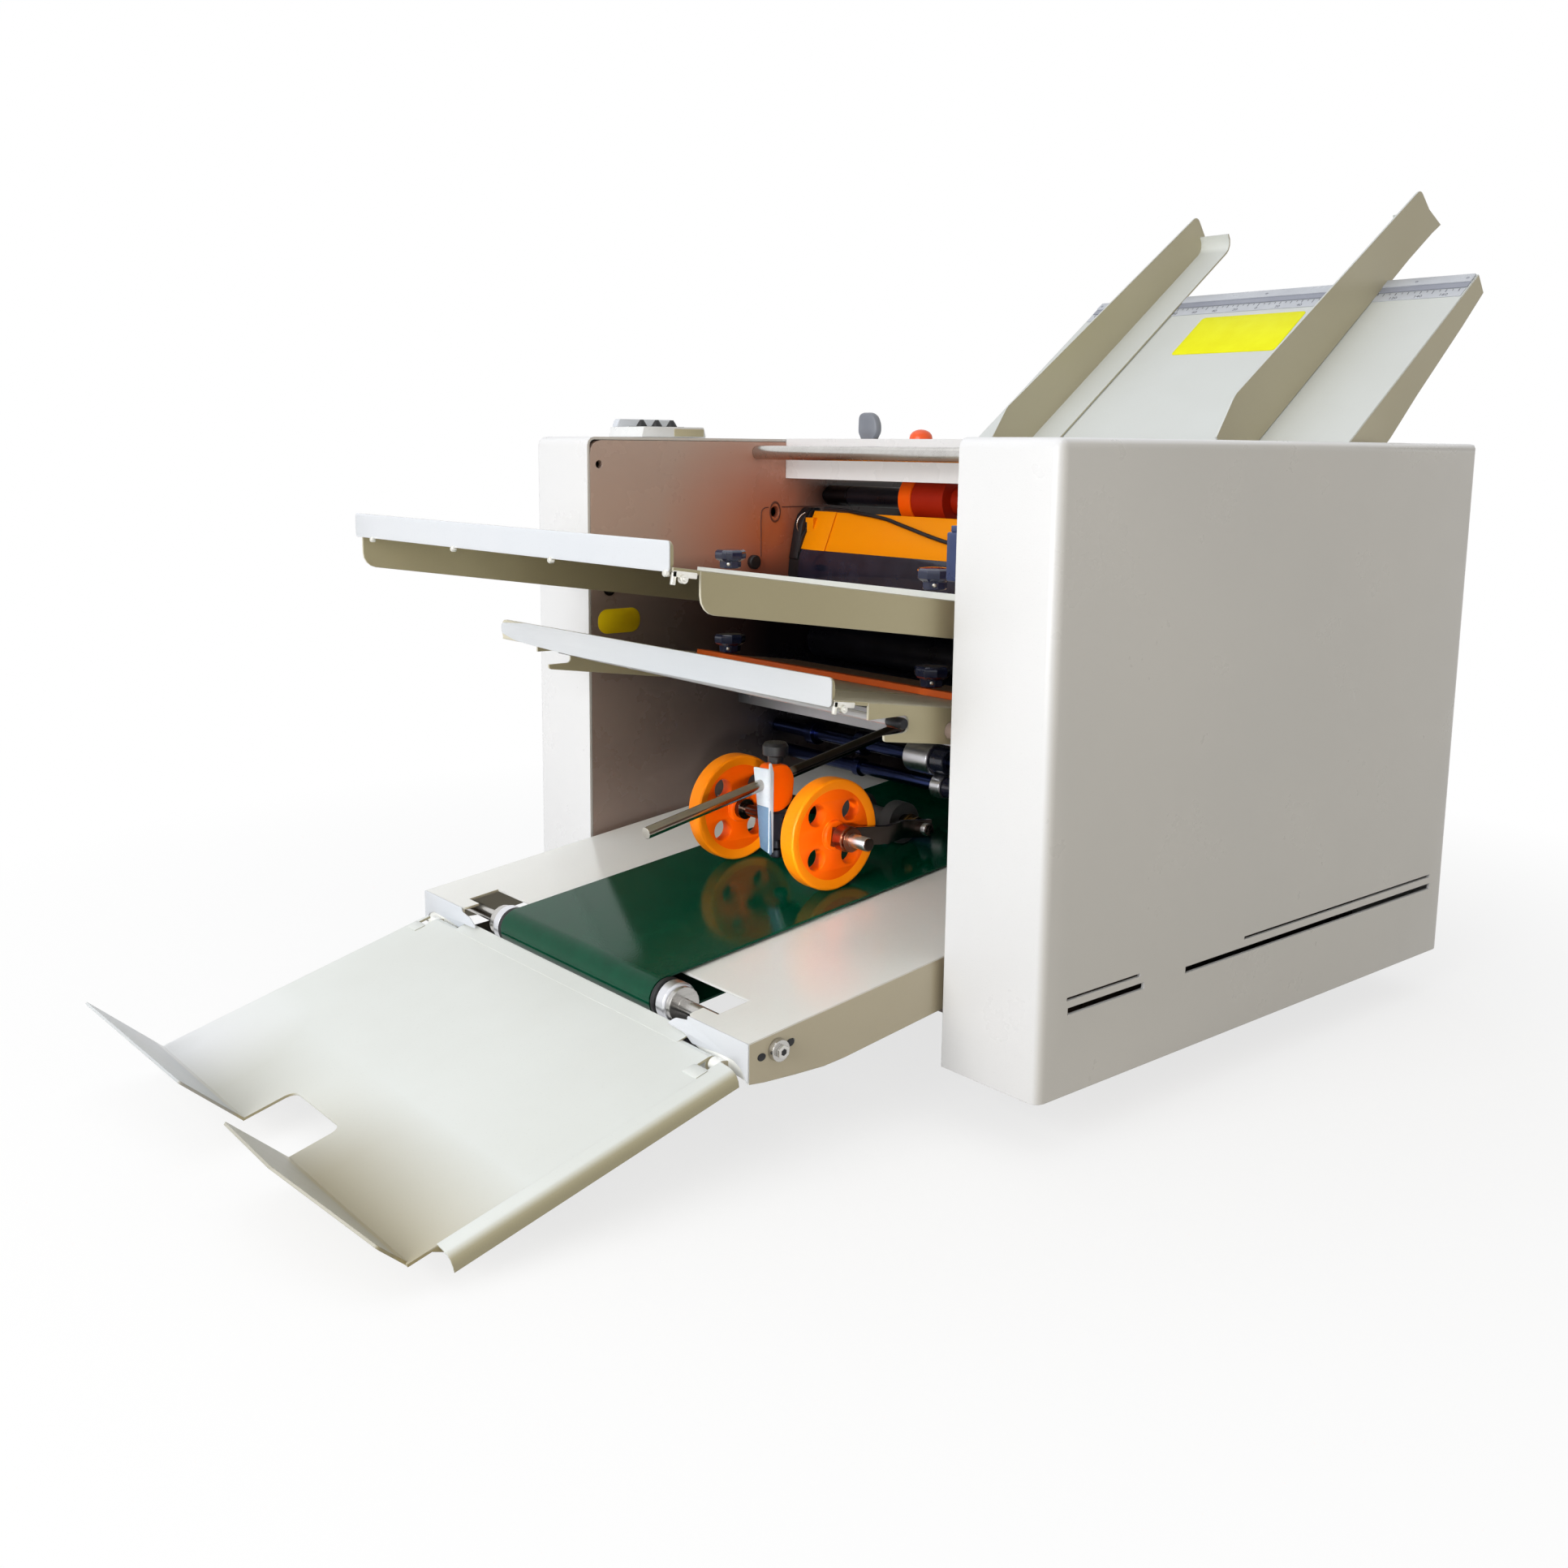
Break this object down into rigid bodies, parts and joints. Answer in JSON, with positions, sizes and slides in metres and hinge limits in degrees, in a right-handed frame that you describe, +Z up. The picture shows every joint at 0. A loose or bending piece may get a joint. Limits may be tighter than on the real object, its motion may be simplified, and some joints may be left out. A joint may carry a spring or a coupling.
{
  "type": "paper folding machine",
  "caption": "Desktop roller paper folder with a sloped feed tray and side guides, buckle fold plates with sliding stops, a delivery belt, press wheels on a rod and a hinged delivery tray.",
  "frame": {"origin": "bottom centre of the whole, on the plane that the feet stand on", "axes": "+X from the delivery end toward the feed end, +Y toward the casing with the control panel, +Z up"},
  "size_m": [1.0042, 0.5, 0.5845],
  "materials": {
    "casing_paint": "satin powder coat",
    "wall_paint": "matt",
    "white_paint": "satin",
    "tray_paint": "satin",
    "plate_paint": "satin",
    "deck_paint": "satin",
    "orange_paint": "satin",
    "black_paint": "satin",
    "motor_paint": "matt",
    "steel": "brushed",
    "roller_steel": "ground",
    "black_steel": "blackened",
    "foot_rubber": "matt",
    "wheel_rubber": "matt",
    "orange_rubber": "matt",
    "belt_skin": "gloss",
    "orange_plastic": "satin",
    "black_plastic": "matt",
    "navy_plastic": "satin",
    "lever_plastic": "satin",
    "panel_plastic": "gloss",
    "cable_plastic": "matt"
  },
  "bodies": {
    "machine": {"side_cover_near": "casing_paint", "side_cover_far": "casing_paint", "side_frame_near": "wall_paint", "side_frame_far": "wall_paint", "base_plate": "wall_paint", "foot_1": "foot_rubber", "foot_2": "foot_rubber", "foot_3": "foot_rubber", "foot_4": "foot_rubber", "top_cover": "white_paint", "tie_bar": "steel", "panel_housing": "panel_plastic", "feed_tray": "tray_paint", "separator_pad": "foot_rubber", "upper_guard": "orange_paint", "roller_cover": "black_paint", "sensor_cable": "cable_plastic", "motor": "motor_paint", "upper_fold_plate": "plate_paint", "lower_fold_plate": "plate_paint", "cross_rod": "lever_plastic", "cross_bar": "steel", "conveyor_deck": "deck_paint", "conveyor_belt": "belt_skin", "wheel_rod": "steel", "power_inlet": "black_plastic"},
    "fold_roller_1": {"fold_roller_1": "roller_steel"},
    "fold_roller_2": {"fold_roller_2": "roller_steel"},
    "fold_roller_3": {"fold_roller_3": "roller_steel"},
    "fold_roller_4": {"fold_roller_4": "roller_steel"},
    "drive_gear": {"drive_gear": "steel"},
    "motor_pinion": {"motor_pinion": "steel"},
    "feed_roller": {"feed_shaft": "black_steel", "feed_roller": "orange_rubber"},
    "score_shaft_upper": {"score_shaft_upper": "black_steel"},
    "score_shaft_lower": {"score_shaft_lower": "black_steel"},
    "front_belt_roller": {"front_belt_roller": "steel"},
    "rear_belt_roller": {"rear_belt_roller": "steel"},
    "carriage": {"rod_clamp": "orange_plastic", "wheel_bracket": "steel", "wheel_axle": "steel"},
    "holder_knob": {"holder_knob": "navy_plastic"},
    "press_wheel_near": {"press_wheel_near": "orange_plastic"},
    "press_wheel_far": {"press_wheel_far": "orange_plastic"},
    "rear_wheel_set": {"rear_wheel_set": "wheel_rubber"},
    "upper_stop": {"upper_stop_bar": "tray_paint"},
    "upper_knob_near": {"upper_knob_near": "navy_plastic"},
    "upper_knob_far": {"upper_knob_far": "navy_plastic"},
    "lower_stop": {"lower_stop_bar": "orange_paint"},
    "lower_knob_near": {"lower_knob_near": "navy_plastic"},
    "lower_knob_far": {"lower_knob_far": "navy_plastic"},
    "guide_near": {"guide_near": "tray_paint"},
    "guide_far": {"guide_far": "tray_paint"},
    "pressure_lever": {"pressure_lever": "lever_plastic"},
    "dome_button": {"dome_button": "orange_plastic"},
    "panel_key_1": {"panel_key_1": "black_plastic"},
    "panel_key_2": {"panel_key_2": "black_plastic"},
    "panel_key_3": {"panel_key_3": "black_plastic"},
    "power_switch": {"power_switch": "black_plastic"},
    "delivery_tray": {"delivery_tray": "tray_paint"}
  },
  "joints": [
    {"name": "fold_roller_1_spin", "type": "hinge", "parent": "machine", "child": "fold_roller_1", "pos_m": [0.07928, 0, 0.2834], "axis": [0, 1, 0], "continuous": true},
    {"name": "fold_roller_2_spin", "type": "hinge", "parent": "machine", "child": "fold_roller_2", "pos_m": [0.07728, 0, 0.25287], "axis": [0, 1, 0], "continuous": true},
    {"name": "fold_roller_3_spin", "type": "hinge", "parent": "machine", "child": "fold_roller_3", "pos_m": [0.08528, 0, 0.22333], "axis": [0, 1, 0], "continuous": true},
    {"name": "fold_roller_4_spin", "type": "hinge", "parent": "machine", "child": "fold_roller_4", "pos_m": [0.08328, 0, 0.1928], "axis": [0, 1, 0], "continuous": true},
    {"name": "drive_gear_spin", "type": "hinge", "parent": "machine", "child": "drive_gear", "pos_m": [0.12422, -0.192, 0.15044], "axis": [0, 1, 0], "continuous": true},
    {"name": "motor_pinion_spin", "type": "hinge", "parent": "machine", "child": "motor_pinion", "pos_m": [0.16302, -0.192, 0.11027], "axis": [0, 1, 0], "continuous": true},
    {"name": "feed_roller_spin", "type": "hinge", "parent": "machine", "child": "feed_roller", "pos_m": [0.09328, 0, 0.339], "axis": [0, 1, 0], "continuous": true},
    {"name": "score_upper_spin", "type": "hinge", "parent": "machine", "child": "score_shaft_upper", "pos_m": [0.04328, 0, 0.15599], "axis": [0, 1, 0], "continuous": true},
    {"name": "score_lower_spin", "type": "hinge", "parent": "machine", "child": "score_shaft_lower", "pos_m": [0.04328, 0, 0.1375], "axis": [0, 1, 0], "continuous": true},
    {"name": "front_belt_roller_spin", "type": "hinge", "parent": "machine", "child": "front_belt_roller", "pos_m": [-0.25532, 0, 0.06871], "axis": [0, 1, 0], "continuous": true},
    {"name": "rear_belt_roller_spin", "type": "hinge", "parent": "machine", "child": "rear_belt_roller", "pos_m": [0.09828, 0, 0.11149], "axis": [0, 1, 0], "continuous": true},
    {"name": "carriage_slide", "type": "slide", "parent": "machine", "child": "carriage", "axis": [0.981, 0, 0.1942], "range_m": [0, 0.03]},
    {"name": "holder_knob_turn", "type": "hinge", "parent": "carriage", "child": "holder_knob", "pos_m": [-0.11272, -0.0025, 0.17452], "axis": [0, 0, 1], "continuous": true},
    {"name": "press_wheel_near_spin", "type": "hinge", "parent": "carriage", "child": "press_wheel_near", "pos_m": [-0.10772, -0.05, 0.13552], "axis": [0, 1, 0], "continuous": true},
    {"name": "press_wheel_far_spin", "type": "hinge", "parent": "carriage", "child": "press_wheel_far", "pos_m": [-0.10772, 0.045, 0.13552], "axis": [0, 1, 0], "continuous": true},
    {"name": "rear_wheel_set_spin", "type": "hinge", "parent": "carriage", "child": "rear_wheel_set", "pos_m": [-0.01872, -0.0025, 0.12443], "axis": [0, 1, 0], "continuous": true},
    {"name": "upper_stop_slide", "type": "slide", "parent": "machine", "child": "upper_stop", "axis": [-0.9905, 0, 0.1377], "range_m": [-0.015, 0.175]},
    {"name": "upper_knob_near_turn", "type": "hinge", "parent": "upper_stop", "child": "upper_knob_near", "pos_m": [-0.07172, -0.1, 0.28681], "axis": [0.1377, 0, 0.9905], "continuous": true},
    {"name": "upper_knob_far_turn", "type": "hinge", "parent": "upper_stop", "child": "upper_knob_far", "pos_m": [-0.07172, 0.1, 0.28681], "axis": [0.1377, 0, 0.9905], "continuous": true},
    {"name": "lower_stop_slide", "type": "slide", "parent": "machine", "child": "lower_stop", "axis": [-0.99, 0, 0.1412], "range_m": [-0.015, 0.075]},
    {"name": "lower_knob_near_turn", "type": "hinge", "parent": "lower_stop", "child": "lower_knob_near", "pos_m": [-0.07172, -0.1, 0.22719], "axis": [0.1412, 0, 0.99], "continuous": true},
    {"name": "lower_knob_far_turn", "type": "hinge", "parent": "lower_stop", "child": "lower_knob_far", "pos_m": [-0.07172, 0.1, 0.22719], "axis": [0.1412, 0, 0.99], "continuous": true},
    {"name": "guide_near_slide", "type": "slide", "parent": "machine", "child": "guide_near", "axis": [0, 1, 0], "range_m": [-0.06, 0.06]},
    {"name": "guide_far_slide", "type": "slide", "parent": "machine", "child": "guide_far", "axis": [0, 1, 0], "range_m": [-0.065, 0.055]},
    {"name": "pressure_lever_swing", "type": "hinge", "parent": "machine", "child": "pressure_lever", "pos_m": [0.07628, 0.114, 0.368], "axis": [0, 1, 0], "range_deg": [-20, 20]},
    {"name": "dome_button_press", "type": "slide", "parent": "machine", "child": "dome_button", "axis": [0, 0, 1], "range_m": [-0.003, 0], "stiffness_N_per_m": 300, "springref_m": 0.002},
    {"name": "panel_key_1_press", "type": "slide", "parent": "machine", "child": "panel_key_1", "axis": [0, 0, 1], "range_m": [-0.003, 0], "stiffness_N_per_m": 200, "springref_m": 0.001},
    {"name": "panel_key_2_press", "type": "slide", "parent": "machine", "child": "panel_key_2", "axis": [0, 0, 1], "range_m": [-0.003, 0], "stiffness_N_per_m": 200, "springref_m": 0.001},
    {"name": "panel_key_3_press", "type": "slide", "parent": "machine", "child": "panel_key_3", "axis": [0, 0, 1], "range_m": [-0.003, 0], "stiffness_N_per_m": 200, "springref_m": 0.001},
    {"name": "power_switch_rock", "type": "hinge", "parent": "machine", "child": "power_switch", "pos_m": [0.28808, 0.1, 0.114], "axis": [0, 1, 0], "range_deg": [0, 16]},
    {"name": "delivery_tray_lift", "type": "hinge", "parent": "machine", "child": "delivery_tray", "pos_m": [-0.27872, 0, 0.0586], "axis": [0, 1, 0], "range_deg": [0, 75]}
  ],
  "couplings": [
    {"joint": "fold_roller_2_spin", "follows": "fold_roller_1_spin", "ratio": -1},
    {"joint": "fold_roller_3_spin", "follows": "fold_roller_1_spin", "ratio": 1},
    {"joint": "fold_roller_4_spin", "follows": "fold_roller_1_spin", "ratio": -1},
    {"joint": "drive_gear_spin", "follows": "fold_roller_1_spin", "ratio": 0.35088},
    {"joint": "motor_pinion_spin", "follows": "fold_roller_1_spin", "ratio": -1.25},
    {"joint": "feed_roller_spin", "follows": "fold_roller_1_spin", "ratio": 0.7},
    {"joint": "score_upper_spin", "follows": "fold_roller_1_spin", "ratio": 1},
    {"joint": "score_lower_spin", "follows": "fold_roller_1_spin", "ratio": -1},
    {"joint": "front_belt_roller_spin", "follows": "fold_roller_1_spin", "ratio": -1},
    {"joint": "rear_belt_roller_spin", "follows": "fold_roller_1_spin", "ratio": -1},
    {"joint": "press_wheel_near_spin", "follows": "fold_roller_1_spin", "ratio": 0.33333},
    {"joint": "press_wheel_far_spin", "follows": "fold_roller_1_spin", "ratio": 0.33333},
    {"joint": "rear_wheel_set_spin", "follows": "fold_roller_1_spin", "ratio": 0.84}
  ]
}
